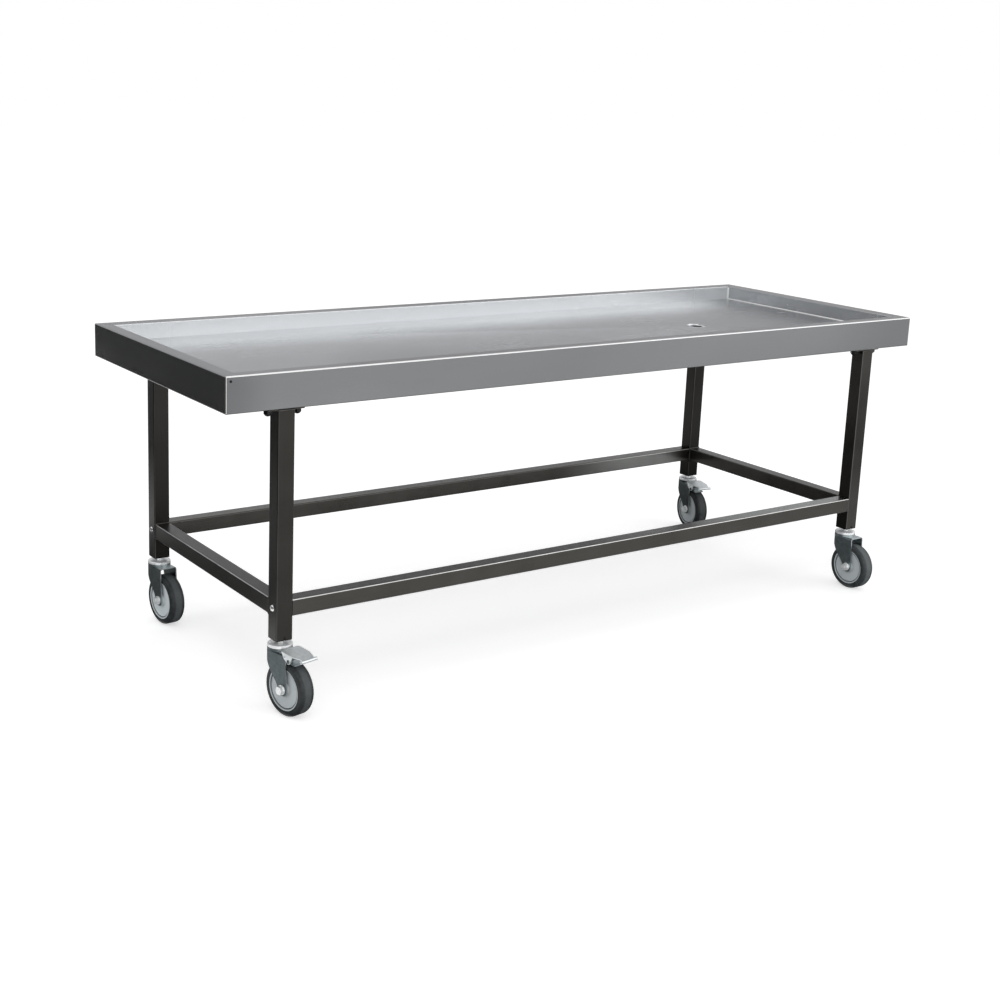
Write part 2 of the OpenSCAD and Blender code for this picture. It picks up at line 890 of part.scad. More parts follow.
// Outline of the pedal's tread plate, which narrows towards the rolled tip
module pedal_plan() {
  polygon([
    [-pedal_front, -strap_out + pedal_corner], [-pedal_front + pedal_corner, -strap_out],
    [strap_end, -strap_out], [pedal_l - pedal_roll_r, -pedal_neck_w / 2],
    [pedal_l - pedal_roll_r, pedal_neck_w / 2], [strap_end, strap_out],
    [-pedal_front + pedal_corner, strap_out], [-pedal_front, strap_out - pedal_corner]]);
}

module pedal_strap_profile() {
  eye_reach = strap_eye_r * cos(45);
  polygon([
    [pedal_corner - pedal_front, plate_lift - pedal_t], [-eye_reach, -eye_reach],
    [shoe_pin_x - eye_reach, -shoe_pin_drop - eye_reach],
    [shoe_pin_x + strap_eye_r, -shoe_pin_drop], [strap_end, plate_lift - pedal_t - strap_end_h],
    [strap_end, plate_lift - pedal_t / 2], [pedal_corner - pedal_front, plate_lift - pedal_t / 2]]);
  circle(strap_eye_r);
  translate([shoe_pin_x, -shoe_pin_drop])
    circle(strap_eye_r);
}

module brake_pedal() {
  color(bright_steel)
    at_pedal_pin(pedal_slope)
      difference() {
        union() {
          translate([0, 0, plate_lift - pedal_t])
            linear_extrude(pedal_t)
              pedal_plan();
          along_y(pedal_tip_w)
            translate([pedal_l - pedal_roll_r, plate_lift - pedal_roll_r])
              difference() {
                circle(pedal_roll_r);
                circle(pedal_roll_r - pedal_t);
              }
          for (s = [-1, 1])
            translate([0, s * (strap_in + strap_out) / 2, 0])
              along_y(pedal_t)
                pedal_strap_profile();
        }
        for (p = [[0, 0], [shoe_pin_x, -shoe_pin_drop]])
          translate([p[0], 0, p[1]])
            rotate([90, 0, 0])
              cylinder(h = 3 * strap_out, r = pin_d / 2 + run_fit, center = true);
      }
}

// Pin with a dome at each end, held outside the pedal straps
module domed_pin() {
  rotate([90, 0, 0]) {
    cylinder(h = 2 * strap_out + 2 * seat_gap + pin_head_h, d = pin_d, center = true);
    for (s = [0, 1])
      mirror([0, 0, s])
        translate([0, 0, strap_out + seat_gap])
          dome(2 * pin_head_r, pin_head_h);
  }
}

module pedal_pin() {
  color(bright_steel)
    translate([pivot_x, 0, pivot_h])
      domed_pin();
}

// Shoe whose flat pad meets the tread when the pedal is down, drawn there and turned back up
module brake_shoe() {
  pad_in = axle_h + seat_gap;
  down = pedal_slope + brake_travel;
  pin_down = [pivot_x + shoe_pin_x * cos(down) - shoe_pin_drop * sin(down),
              pivot_h - shoe_pin_x * sin(down) - shoe_pin_drop * cos(down)];
  pin_reach = norm(pin_down - [trail, axle_h]);
  pin_lean = atan2(pin_down[0] - trail, pin_down[1] - axle_h);
  color(zinc_steel)
    at_pedal_pin(-brake_travel)
      translate([trail - pivot_x, 0, axle_h - pivot_h])
        rotate([0, pin_lean, 0]) {
          along_y(shoe_w) {
            translate([-shoe_l / 2, pad_in])
              square([shoe_l, shoe_t]);
            translate([-shoe_boss_r, pad_in + shoe_t / 2])
              square([2 * shoe_boss_r, pin_reach - pad_in - shoe_t / 2]);
            translate([0, pin_reach])
              circle(shoe_boss_r);
          }
          translate([0, 0, pin_reach])
            domed_pin();
        }
}

tray();
channel(left);  // left_channel
channel(right);  // right_channel
tray_bolts();
drain_flange();
drain_strainer();
drain_gasket();
drain_backnut();
leg(left, front);  // front_left_leg
leg(right, front);  // front_right_leg
leg(left, back);  // back_left_leg
leg(right, back);  // back_right_leg
leg_plate(left, front);  // front_left_plate
leg_plate(right, front);  // front_right_plate
leg_plate(left, back);  // back_left_plate
leg_plate(right, back);  // back_right_plate
leg_insert(left, front);  // front_left_insert
leg_insert(right, front);  // front_right_insert
leg_insert(left, back);  // back_left_insert
leg_insert(right, back);  // back_right_insert
long_rail(front);  // front_rail
long_rail(back);  // back_rail
end_rail(left);  // left_rail
end_rail(right);  // right_rail
rail_plugs();
rail_bolts();
at_caster(left, front) caster_head();  // front_left_head
at_caster(left, front) caster_balls();  // front_left_balls
at_caster(left, front) fork(braked = true);  // front_left_fork
at_caster(left, front) caster_axle();  // front_left_axle
at_caster(left, front) caster_bush();  // front_left_bush
at_caster(left, front) caster_wheel();  // front_left_wheel
at_caster(left, front) caster_tread();  // front_left_tread
at_caster(left, front) brake_pedal();  // front_left_pedal
at_caster(left, front) pedal_pin();  // front_left_pedal_pin
at_caster(left, front) brake_shoe();  // front_left_shoe
at_caster(right, front) caster_head();  // front_right_head
at_caster(right, front) caster_balls();  // front_right_balls
at_caster(right, front) fork(braked = false);  // front_right_fork
at_caster(right, front) caster_axle();  // front_right_axle
at_caster(right, front) caster_bush();  // front_right_bush
at_caster(right, front) caster_wheel();  // front_right_wheel
at_caster(right, front) caster_tread();  // front_right_tread
at_caster(left, back) caster_head();  // back_left_head
at_caster(left, back) caster_balls();  // back_left_balls
at_caster(left, back) fork(braked = false);  // back_left_fork
at_caster(left, back) caster_axle();  // back_left_axle
at_caster(left, back) caster_bush();  // back_left_bush
at_caster(left, back) caster_wheel();  // back_left_wheel
at_caster(left, back) caster_tread();  // back_left_tread
at_caster(right, back) caster_head();  // back_right_head
at_caster(right, back) caster_balls();  // back_right_balls
at_caster(right, back) fork(braked = true);  // back_right_fork
at_caster(right, back) caster_axle();  // back_right_axle
at_caster(right, back) caster_bush();  // back_right_bush
at_caster(right, back) caster_wheel();  // back_right_wheel
at_caster(right, back) caster_tread();  // back_right_tread
at_caster(right, back) brake_pedal();  // back_right_pedal
at_caster(right, back) pedal_pin();  // back_right_pedal_pin
at_caster(right, back) brake_shoe();  // back_right_shoe
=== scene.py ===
import json
import math
import random

import bpy
from mathutils import Matrix, Vector


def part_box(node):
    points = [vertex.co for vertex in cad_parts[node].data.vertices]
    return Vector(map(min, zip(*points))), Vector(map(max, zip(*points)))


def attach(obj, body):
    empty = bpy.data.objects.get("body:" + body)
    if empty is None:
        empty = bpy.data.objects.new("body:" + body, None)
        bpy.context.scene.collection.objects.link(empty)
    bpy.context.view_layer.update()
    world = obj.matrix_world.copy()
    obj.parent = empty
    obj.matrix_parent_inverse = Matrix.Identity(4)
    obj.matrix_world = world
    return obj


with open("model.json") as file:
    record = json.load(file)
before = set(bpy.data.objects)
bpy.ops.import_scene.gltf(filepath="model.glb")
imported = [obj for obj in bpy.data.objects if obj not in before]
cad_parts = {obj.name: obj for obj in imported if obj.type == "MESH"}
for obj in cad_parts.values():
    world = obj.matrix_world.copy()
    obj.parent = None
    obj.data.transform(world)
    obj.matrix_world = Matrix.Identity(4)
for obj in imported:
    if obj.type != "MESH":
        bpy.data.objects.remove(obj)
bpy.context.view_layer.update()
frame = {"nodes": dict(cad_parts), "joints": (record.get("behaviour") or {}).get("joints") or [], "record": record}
nodes = frame["nodes"]
joints = {joint["name"]: joint for joint in frame["joints"]}
casterNames = ["front_left", "front_right", "back_left", "back_right"]
print("frame:", len(nodes), "nodes")


# a socket that can be used in plain sums: each operator adds its Math node
class Wire:
    def __init__(self, tree, socket):
        self.tree = tree
        self.socket = socket

    def maths(self, operation, *values):
        return addNode(self.tree, "ShaderNodeMath", {"operation": operation}, dict(enumerate(values)))

    def __add__(self, other):
        return self.maths("ADD", self, other)

    def __radd__(self, other):
        return self.maths("ADD", other, self)

    def __sub__(self, other):
        return self.maths("SUBTRACT", self, other)

    def __rsub__(self, other):
        return self.maths("SUBTRACT", other, self)

    def __mul__(self, other):
        return self.maths("MULTIPLY", self, other)

    def __rmul__(self, other):
        return self.maths("MULTIPLY", other, self)

    def __pow__(self, other):
        return self.maths("POWER", self, other)

    def __abs__(self):
        return self.maths("ABSOLUTE", self)

    def atMost(self, other):
        return self.maths("MINIMUM", self, other)

    def atLeast(self, other):
        return self.maths("MAXIMUM", self, other)

    # 0 below low, 1 above high, smooth between
    def ramp(self, low, high):
        settings = {"interpolation_type": "SMOOTHSTEP"}
        sockets = {"Value": self, "From Min": low, "From Max": high}
        return addNode(self.tree, "ShaderNodeMapRange", settings, sockets, "Result")

    # noise from 0 to 1, turned into a swing about zero
    def swing(self, size):
        return (self - 0.5) * size


# links a wire to a socket or sets the socket's value; three numbers make an opaque colour
def plug(tree, socket, value):
    if isinstance(value, Wire):
        tree.links.new(value.socket, socket)
    elif hasattr(value, "__len__") and len(value) == 3 and len(socket.default_value) == 4:
        socket.default_value = (*value, 1)
    else:
        socket.default_value = value


# any node: its settings first, then its sockets by name or number, and the output that is wanted
def addNode(tree, kind, settings, sockets, output=0):
    node = tree.nodes.new(kind)
    for name, value in settings.items():
        setattr(node, name, value)
    for name, value in sockets.items():
        plug(tree, node.inputs[name], value)
    return Wire(tree, node.outputs[output]) if len(node.outputs) else None


# a material under construction, around one Principled shader
class Finish:
    def __init__(self, name):
        self.material = bpy.data.materials.new(name)
        self.material.use_nodes = True
        self.tree = self.material.node_tree
        self.tree.nodes.clear()
        self.place = self.add("ShaderNodeTexCoord", {}, {}, "Object")

    def add(self, kind, settings, sockets, output=0):
        return addNode(self.tree, kind, settings, sockets, output)

    def vector(self, operation, *values, output="Vector"):
        settings = {"operation": operation}
        return self.add("ShaderNodeVectorMath", settings, dict(enumerate(values)), output)

    # a vector's x, y and z
    def parts(self, vector):
        split = self.add("ShaderNodeSeparateXYZ", {}, {0: vector})
        return [Wire(self.tree, output) for output in split.socket.node.outputs]

    def normal(self):
        return self.add("ShaderNodeNewGeometry", {}, {}, "Normal")

    # noise whose grains have the given size in metres, one for all axes or one for each
    def grain(self, size, detail=4.0, rough=0.6, shift=(0, 0, 0)):
        sizes = size if hasattr(size, "__len__") else (size, size, size)
        point = self.vector("MULTIPLY", self.place, tuple(1 / length for length in sizes))
        point = self.vector("ADD", point, shift)
        sockets = {"Vector": point, "Scale": 1.0, "Detail": detail, "Roughness": rough}
        return self.add("ShaderNodeTexNoise", {"noise_dimensions": "3D"}, sockets)

    # the first colour where amount is 0, the second where it is 1
    def blend(self, amount, first, second):
        factor, start, end, result = 0, 6, 7, 2  # a Mix node's socket numbers for colours
        sockets = {factor: amount, start: first, end: second}
        return self.add("ShaderNodeMix", {"data_type": "RGBA"}, sockets, result)

    def bump(self, height, distance, strength=1.0):
        sockets = {"Height": height, "Distance": distance, "Strength": strength}
        return self.add("ShaderNodeBump", {}, sockets)

    # ends the material in one Principled shader
    def close(self, sockets):
        shader = self.add("ShaderNodeBsdfPrincipled", {}, sockets)
        self.add("ShaderNodeOutputMaterial", {}, {"Surface": shader})
        return self.material


# how far a point's surface turns from the nearest axis: 0 on flat faces, 1 on rounded edges
def edgeMask(finish, turn):
    x, y, z = finish.parts(finish.normal())
    flat = abs(x).atLeast(abs(y)).atLeast(abs(z))
    return (1 - flat).ramp(*turn)


# a look's colours by name, made darker or paler together for painted light and shade
def shaded(look, paintedShading, *names):
    return [tuple(paintedShading * part for part in look[name]) for name in names]


# stainless sheet, brushed along its length; colours are linear, lengths are metres, and pairs are
# the start and the end of a soft change
traySheet = {
    "colour": (0.118, 0.121, 0.124),
    "paleColour": (0.235, 0.241, 0.246),
    "middleTone": 0.16,  # between the two colours, to which the rest is added
    "cloudTone": 0.25,
    "lineTone": 0.08,
    "paintedFlatLight": 0.38,  # painted light: the rim, the floor and the ends paler than the skirt
    "paintedSideReflections": [((-1.05, -0.93), 0.34), ((-0.25, 0.35), 0.28), ((0.62, 1.03), -0.38)],  # painted reflections: slow changes of tone along the skirt
    # painted light: the basin is painted paler than the outer skirt, though it is the same sheet
    "paintedBasinLight": (0.35, 0.358, 0.366),
    "basinAmount": 0.8,
    "basinCloud": 0.8,
    "foldColour": (0.33, 0.338, 0.346),  # the strip of the floor beside the long walls
    "foldReach": (0.14, 0.24),
    "foldWander": 0.1,
    "foldAmount": 0.9,
    # painted light: the basin's walls painted near white and part matte, palest near the welded ends
    "paintedWallLight": (0.95, 0.975, 1.0),
    "endWallAmount": 0.7,
    "wallSheen": 0.62,  # how metallic the long walls look, away from their welds and at them
    "weldSheen": 0.20,
    "weldReach": (0.06, 0.20),
    # painted highlights on the rounded edges
    "edgeHighlightColour": (0.80, 0.80, 0.80),
    "edgeTurn": (0.004, 0.07),
    "edgePolish": 0.08,
    "outerEdge": (-0.012, -0.008),  # outside the rim's inner edge
    "sideHighlight": 0.85,
    "innerHighlight": 0.15,
    "roughness": 0.26,
    "cloudRough": 0.08,
    "smearRough": 0.04,
    "lineRough": 0.03,
    "lineLength": 0.25,
    "lineWidth": 0.0012,
    "lineDepth": 0.00004,
    "lineStrength": 0.2,
    "cloudSize": (0.30, 0.18, 0.09),
    "smearSize": (0.12, 0.02, 0.05),
    "rimWidth": 0.035,
    "rimSlack": 0.002,
    "onEnd": (0.6, 0.8),  # these take the surface's normal
    "onSide": (0.5, 0.8),
    "onWall": (0.3, 0.6),
    "highlightSide": (0.08, 0.3),
    "highlightAbove": (-0.3, -0.05),
}


# a point's place along the tray, how far inside the rim's inner edge it lies from the ends and from
# the long sides, and 1 where it is inside
def insideRim(finish, look):
    low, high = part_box("tray")
    middle = (low + high) / 2
    reach = (high - low) / 2 - Vector((look["rimWidth"], look["rimWidth"], 0))
    x, y = finish.parts(finish.vector("SUBTRACT", finish.place, tuple(middle)))[:2]
    slack = look["rimSlack"]
    toEnd, toSide = reach.x - abs(x), reach.y - abs(y)
    return x, toEnd, toSide, toEnd.ramp(-slack, slack) * toSide.ramp(-slack, slack)


def makeTraySheet(name, look):
    finish = Finish(name)
    x, y, z = finish.parts(finish.normal())
    onEnd, onSide = abs(x).ramp(*look["onEnd"]), abs(y).ramp(*look["onSide"])
    long, fine = look["lineLength"], look["lineWidth"]
    alongX = finish.grain((long, fine, fine), detail=3.0)
    alongY = finish.grain((fine, long, fine), detail=3.0, shift=(3, 1, 7))
    lines = alongX * (1 - onEnd) + alongY * onEnd
    cloud = finish.grain(look["cloudSize"], rough=0.55, shift=(5, 2, 1))
    smear = finish.grain(look["smearSize"], detail=3.0, shift=(1, 8, 2))
    along, toEnd, toSide, inside = insideRim(finish, look)

    # skirt and rim
    tone = cloud.swing(look["cloudTone"]) + lines.swing(look["lineTone"])
    # painted reflection: the skirt made paler and darker in stretches along its length
    for reach, amount in look["paintedSideReflections"]:
        tone = tone + along.ramp(*reach) * amount * onSide
    # painted light: faces that do not face the long sides are painted paler
    tone = tone + (1 - onSide) * look["paintedFlatLight"] + look["middleTone"]
    colour = finish.blend(tone, look["colour"], look["paleColour"])

    # basin, painted paler than the skirt as painted light
    amount = inside * (cloud.swing(look["basinCloud"]) + look["basinAmount"])
    colour = finish.blend(amount, colour, look["paintedBasinLight"])
    start, end = look["foldReach"]
    fold = 1 - toSide.ramp(start, cloud.swing(look["foldWander"]) + end)
    colour = finish.blend(inside * fold * look["foldAmount"], colour, look["foldColour"])
    # painted light: the walls take a near white colour and show part of it as matte
    wall = inside * (1 - abs(z).ramp(*look["onWall"]))
    amount = wall * (onSide * (1 - look["endWallAmount"]) + look["endWallAmount"])
    colour = finish.blend(amount, colour, look["paintedWallLight"])
    welded = 1 - toEnd.ramp(*look["weldReach"])
    sheen = look["wallSheen"] - welded * (look["wallSheen"] - look["weldSheen"])

    # edges, painted bright as highlights except on the bottom folds
    outer = 1 - toSide.ramp(*look["outerEdge"])
    edgeLight = abs(y).ramp(*look["highlightSide"]) * outer * look["sideHighlight"] + look["innerHighlight"]
    edges = edgeMask(finish, look["edgeTurn"]) * edgeLight * z.ramp(*look["highlightAbove"])
    colour = finish.blend(edges, colour, look["edgeHighlightColour"])
    roughness = look["roughness"] + cloud.swing(look["cloudRough"]) + smear.swing(look["smearRough"])
    roughness = roughness + lines.swing(look["lineRough"]) - edges * look["edgePolish"]
    return finish.close({
        "Base Color": colour,
        "Metallic": 1 - wall * onSide * (1 - sheen),
        "Roughness": roughness,
        "Normal": finish.bump(lines, look["lineDepth"], look["lineStrength"]),
    })


# polished square tube, darker than the sheet; the painted shading makes one tube darker or paler than the rest,
# for the light and shade it shows
frameTube = {
    "colour": (0.036, 0.034, 0.031),
    "paleColour": (0.060, 0.058, 0.054),
    "middleTone": 0.45,
    "cloudTone": 0.9,
    "lineTone": 0.5,
    # painted light and shade: each tube darker or paler by what it reflects
    "paintedShading": {
        "front_left_leg": 0.70, "front_right_leg": 1.0, "back_left_leg": 0.62, "back_right_leg": 0.50,
        "front_rail": 1.25, "back_rail": 2.0, "left_rail": 1.0, "right_rail": 1.7,
    },
    # painted highlights on the rounded edges: bright on the front and left rails, dim on the rest
    "edgeHighlightColour": (0.85, 0.85, 0.84),
    "dullEdgeColour": (0.10, 0.10, 0.098),
    "highlightedEdges": ("front_rail", "left_rail"),
    "edgeTurn": (0.01, 0.12),
    "edgeShine": 0.25,
    "cloudShine": 0.9,
    # painted reflection: paler zones on the rails' faces
    "reflectionColour": (0.40, 0.41, 0.40),
    "paintedReflection": {  # which faces carry a painted reflection, by the axis they face, and between which places
        "front_rail": {"axis": 2, "from": (-0.1, 0.6), "until": (1.5, 2.0), "amount": 0.7},
        "back_rail": {"axis": 1, "from": (0.34, 0.64), "until": (0.77, 0.87), "amount": 0.78},
    },
    "reflectionFace": (0.7, 0.9),
    "reflectionCloud": 0.8,
    "reflectionBase": 0.6,
    "roughness": 0.30,
    "cloudRough": 0.16,
    "lineRough": 0.10,
    "direction": {"front_rail": 0, "back_rail": 0, "left_rail": 1, "right_rail": 1},  # else upright
    "lineLength": 0.20,
    "lineWidth": 0.0010,
    "lineDepth": 0.00005,
    "lineStrength": 0.5,
    "cloudSize": 0.10,
}


# the brushed lines run along each tube
def makeFrameTube(node, look):
    finish = Finish("frameTube." + node)
    size = [look["lineWidth"]] * 3
    size[look["direction"].get(node, 2)] = look["lineLength"]
    lines = finish.grain(size, detail=3.0)
    cloud = finish.grain(look["cloudSize"], rough=0.55, shift=(4, 4, 1))
    tone = cloud.swing(look["cloudTone"]) + lines.swing(look["lineTone"]) + look["middleTone"]
    colour = finish.blend(tone, *shaded(look, look["paintedShading"].get(node, 1.0), "colour", "paleColour"))
    # painted highlights along the rounded edges, patchy
    shine = edgeMask(finish, look["edgeTurn"]) * (cloud * look["cloudShine"] + look["edgeShine"]).atMost(1.0)
    colour = finish.blend(shine, colour, look["edgeHighlightColour" if node in look["highlightedEdges"] else "dullEdgeColour"])
    # painted reflection: a paler zone along the rail, on the faces that face one axis
    paintedReflection = look["paintedReflection"].get(node)
    if paintedReflection:
        along = finish.parts(finish.place)[0]
        facing = abs(finish.parts(finish.normal())[paintedReflection["axis"]]).ramp(*look["reflectionFace"])
        zone = along.ramp(*paintedReflection["from"]) * (1 - along.ramp(*paintedReflection["until"]))
        patchy = (cloud * look["reflectionCloud"] + look["reflectionBase"]).atMost(1.0)
        colour = finish.blend(facing * zone * patchy * paintedReflection["amount"], colour, look["reflectionColour"])
    return finish.close({
        "Base Color": colour,
        "Metallic": 1.0,
        "Roughness": look["roughness"] + cloud.swing(look["cloudRough"]) + lines.swing(look["lineRough"]),
        "Normal": finish.bump(lines, look["lineDepth"], look["lineStrength"]),
    })


# small metal pieces, plated or turned; a metal value under 1 makes them duller and whiter
metalLooks = {
    "brightFastener": {"colour": (0.72, 0.72, 0.72), "paleColour": (0.95, 0.95, 0.95), "roughness": 0.22},
    # painted shade: near black for the fasteners that sit in shade under the tray
    "darkFastener": {"colour": (0.010, 0.010, 0.010), "paleColour": (0.035, 0.035, 0.035), "roughness": 0.36},
    # bright zinc plate, painted paler and duller than plating is, as painted highlights on the caster heads
    "zincBright": {
        "colour": (0.80, 0.82, 0.83), "paleColour": (0.97, 0.98, 0.99), "roughness": 0.30, "metal": 0.5,
    },
    # zinc plate on the pedals, painted paler than plating is, as painted light
    "zincPedal": {
        "colour": (0.62, 0.66, 0.67), "paleColour": (0.88, 0.92, 0.93), "roughness": 0.38, "metal": 0.6,
    },
    "weldBead": {"colour": (0.045, 0.045, 0.043), "paleColour": (0.12, 0.115, 0.11), "roughness": 0.40},
    # painted highlight: the basin's weld seams near white and dull, for the bright lines along them
    "basinSeam": {
        "colour": (0.86, 0.86, 0.86), "paleColour": (0.97, 0.97, 0.97), "roughness": 0.34, "metal": 0.25,
    },
    "drainSteel": {"colour": (0.55, 0.56, 0.57), "paleColour": (0.75, 0.76, 0.77), "roughness": 0.20},
    "ballSteel": {"colour": (0.70, 0.70, 0.70), "paleColour": (0.85, 0.85, 0.85), "roughness": 0.10},
    "channelSheet": {"colour": (0.34, 0.35, 0.35), "paleColour": (0.50, 0.51, 0.51), "roughness": 0.38},
}
plating = {
    "cloudSize": 0.010,
    "speckSize": 0.0018,
    "middleTone": 0.5,
    "cloudTone": 1.4,
    "speckTone": 0.6,
    "cloudRough": 0.22,
    "speckRough": 0.08,
    "speckDepth": 0.00004,
    "speckStrength": 0.5,
}


# the clouded and specked surface that all small metal shares: its cloud and its sockets
def platedSurface(finish, colours, roughness, metal):
    cloud = finish.grain(plating["cloudSize"], shift=(2, 5, 3))
    speck = finish.grain(plating["speckSize"], detail=2.0, rough=0.5, shift=(9, 1, 4))
    tone = cloud.swing(plating["cloudTone"]) + speck.swing(plating["speckTone"]) + plating["middleTone"]
    return cloud, {
        "Base Color": finish.blend(tone, *colours),
        "Metallic": metal,
        "Roughness": roughness + cloud.swing(plating["cloudRough"]) + speck.swing(plating["speckRough"]),
        "Normal": finish.bump(speck, plating["speckDepth"], plating["speckStrength"]),
    }


def makeMetal(name, look):
    finish = Finish(name)
    colours = (look["colour"], look["paleColour"])
    return finish.close(platedSurface(finish, colours, look["roughness"], look.get("metal", 1.0))[1])


# pressed and plated forks: the sides dull, the top and the cut edges painted brighter as highlights
forkPlate = {
    "colour": (0.065, 0.079, 0.083),
    "paleColour": (0.14, 0.165, 0.17),
    "edgeHighlightColour": (0.46, 0.50, 0.51),
    "sideTurn": (0.4, 0.9),
    "edgeCloud": 0.6,
    "edgeBase": 0.5,
    "roughness": 0.36,
    # painted light and shade: each fork darker or paler by what it reflects
    "paintedShading": {"front_left": 1.0, "front_right": 3.0, "back_left": 1.8, "back_right": 0.9},
}


def makeForkPlate(name, look, caster):
    finish = Finish(name)
    colours = shaded(look, look["paintedShading"][caster], "colour", "paleColour")
    cloud, sockets = platedSurface(finish, colours, look["roughness"], 1.0)
    axle = joints[caster + "_wheel_spin"]["axis"]
    sideways = abs(finish.vector("DOT_PRODUCT", finish.normal(), axle, output="Value"))
    # painted highlights where the surface turns away from the axle
    cut = 1 - sideways.ramp(*look["sideTurn"])
    amount = cut * (cloud * look["edgeCloud"] + look["edgeBase"]).atMost(1.0)
    sockets["Base Color"] = finish.blend(amount, sockets["Base Color"], look["edgeHighlightColour"])
    return finish.close(sockets)


# turned ring of the drain, with painted shade inside its bore
drainRing = {
    "colour": (0.62, 0.63, 0.64),
    "paleColour": (0.85, 0.86, 0.87),
    "middleTone": 0.5,
    "cloudTone": 1.2,
    "boreShadeColour": (0.010, 0.010, 0.009),
    "boreShadeReach": (0.0161, 0.0166),  # from the drain's middle
    "boreShadeWander": 0.0006,
    "boreShadeRough": 0.4,
    "roughness": 0.22,
    "cloudRough": 0.15,
    "cloudSize": 0.006,
    "turnedSize": (0.02, 0.02, 0.0006),
    "turnedDepth": 0.00004,
    "turnedStrength": 0.4,
}


def makeDrainRing(name, look):
    finish = Finish(name)
    low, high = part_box("drain_flange")
    middle = (low + high) / 2
    x, y = finish.parts(finish.vector("SUBTRACT", finish.place, tuple(middle)))[:2]
    radius = (x * x + y * y) ** 0.5
    cloud = finish.grain(look["cloudSize"])
    turned = finish.grain(look["turnedSize"], detail=2.0, rough=0.5)
    tone = cloud.swing(look["cloudTone"]) + look["middleTone"]
    colour = finish.blend(tone, look["colour"], look["paleColour"])
    start, end = look["boreShadeReach"]
    # painted shade: dark inside the bore, where little light reaches
    boreShade = 1 - radius.ramp(start, cloud.swing(look["boreShadeWander"]) + end)
    return finish.close({
        "Base Color": finish.blend(boreShade, colour, look["boreShadeColour"]),
        "Metallic": 1.0,
        "Roughness": look["roughness"] + boreShade * look["boreShadeRough"] + cloud.swing(look["cloudRough"]),
        "Normal": finish.bump(turned, look["turnedDepth"], look["turnedStrength"]),
    })


# light grey moulded wheel core, with a groove near its rim and dust about its hub
wheelPlastic = {
    "colour": (0.46, 0.51, 0.53),
    "paleColour": (0.64, 0.69, 0.71),
    "middleTone": 0.5,
    "cloudTone": 1.2,
    "dustColour": (0.34, 0.36, 0.36),
    "hubReach": (0.014, 0.026),
    "hubDust": 0.5,
    "dustyCloud": (0.45, 0.70),
    "cloudDust": 0.25,
    "grooveColour": (0.06, 0.065, 0.066),
    "groove": (0.0428, 0.0452),
    "grooveSlack": 0.0006,
    "grooveAmount": 0.9,
    "roughness": 0.42,
    "cloudRough": 0.16,
    "cloudSize": 0.014,
    "poreSize": 0.0006,
    "poreDepth": 0.00003,
    "poreStrength": 0.6,
    # painted light and shade: one wheel darker or paler than the rest
    "paintedShading": {"front_left": 0.93, "front_right": 0.93, "back_left": 1.22, "back_right": 0.72},
}

# its dark rubber tread, scuffed paler on the band that rolls
treadRubber = {
    "colour": (0.012, 0.015, 0.016),
    "paleColour": (0.100, 0.113, 0.118),
    "middleTone": 0.16,
    "cloudTone": 0.6,
    "poreTone": 0.25,
    "band": (0.0054, 0.0117),
    "bandTone": 0.50,
    "bandRough": 0.08,
    "roughness": 0.55,
    "cloudRough": 0.2,
    "gloss": 0.35,
    "cloudSize": 0.012,
    "poreSize": 0.0008,
    "poreDepth": 0.00006,
    "poreStrength": 0.6,
    # painted light and shade: one tread darker or paler than the rest
    "paintedShading": {"front_left": 0.92, "front_right": 1.35, "back_left": 1.0, "back_right": 0.60},
}


# a point's place along its wheel's axle, and its distance from that axle
def aroundAxle(finish, caster):
    joint = joints[caster + "_wheel_spin"]
    arm = finish.vector("SUBTRACT", finish.place, joint["pos_m"])
    along = finish.vector("DOT_PRODUCT", arm, joint["axis"], output="Value")
    span = finish.vector("LENGTH", arm, output="Value")
    return along, (span * span - along * along).atLeast(0) ** 0.5


def makeWheelPlastic(name, look, caster):
    finish = Finish(name)
    radius = aroundAxle(finish, caster)[1]
    cloud = finish.grain(look["cloudSize"], shift=(6, 1, 2))
    pore = finish.grain(look["poreSize"], detail=2.0, rough=0.5)
    dull, pale, dusty = shaded(look, look["paintedShading"][caster], "colour", "paleColour", "dustColour")
    colour = finish.blend(cloud.swing(look["cloudTone"]) + look["middleTone"], dull, pale)
    nearHub = 1 - radius.ramp(*look["hubReach"])
    dust = nearHub * look["hubDust"] + cloud.ramp(*look["dustyCloud"]) * look["cloudDust"]
    colour = finish.blend(dust.atMost(1.0), colour, dusty)
    start, end = look["groove"]
    slack = look["grooveSlack"]
    groove = radius.ramp(start - slack, start + slack) * (1 - radius.ramp(end - slack, end + slack))
    return finish.close({
        "Base Color": finish.blend(groove * look["grooveAmount"], colour, look["grooveColour"]),
        "Roughness": look["roughness"] + cloud.swing(look["cloudRough"]),
        "Normal": finish.bump(pore, look["poreDepth"], look["poreStrength"]),
    })


def makeTreadRubber(name, look, caster):
    finish = Finish(name)
    along = aroundAxle(finish, caster)[0]
    cloud = finish.grain(look["cloudSize"], shift=(3, 3, 9))
    pore = finish.grain(look["poreSize"], detail=3.0)
    band = 1 - abs(along).ramp(*look["band"])
    tone = band * look["bandTone"] + cloud.swing(look["cloudTone"]) + pore.swing(look["poreTone"])
    colours = shaded(look, look["paintedShading"][caster], "colour", "paleColour")
    return finish.close({
        "Base Color": finish.blend(tone + look["middleTone"], *colours),
        "Roughness": look["roughness"] + cloud.swing(look["cloudRough"]) + band * look["bandRough"],
        "Specular IOR Level": look["gloss"],
        "Normal": finish.bump(pore, look["poreDepth"], look["poreStrength"]),
    })


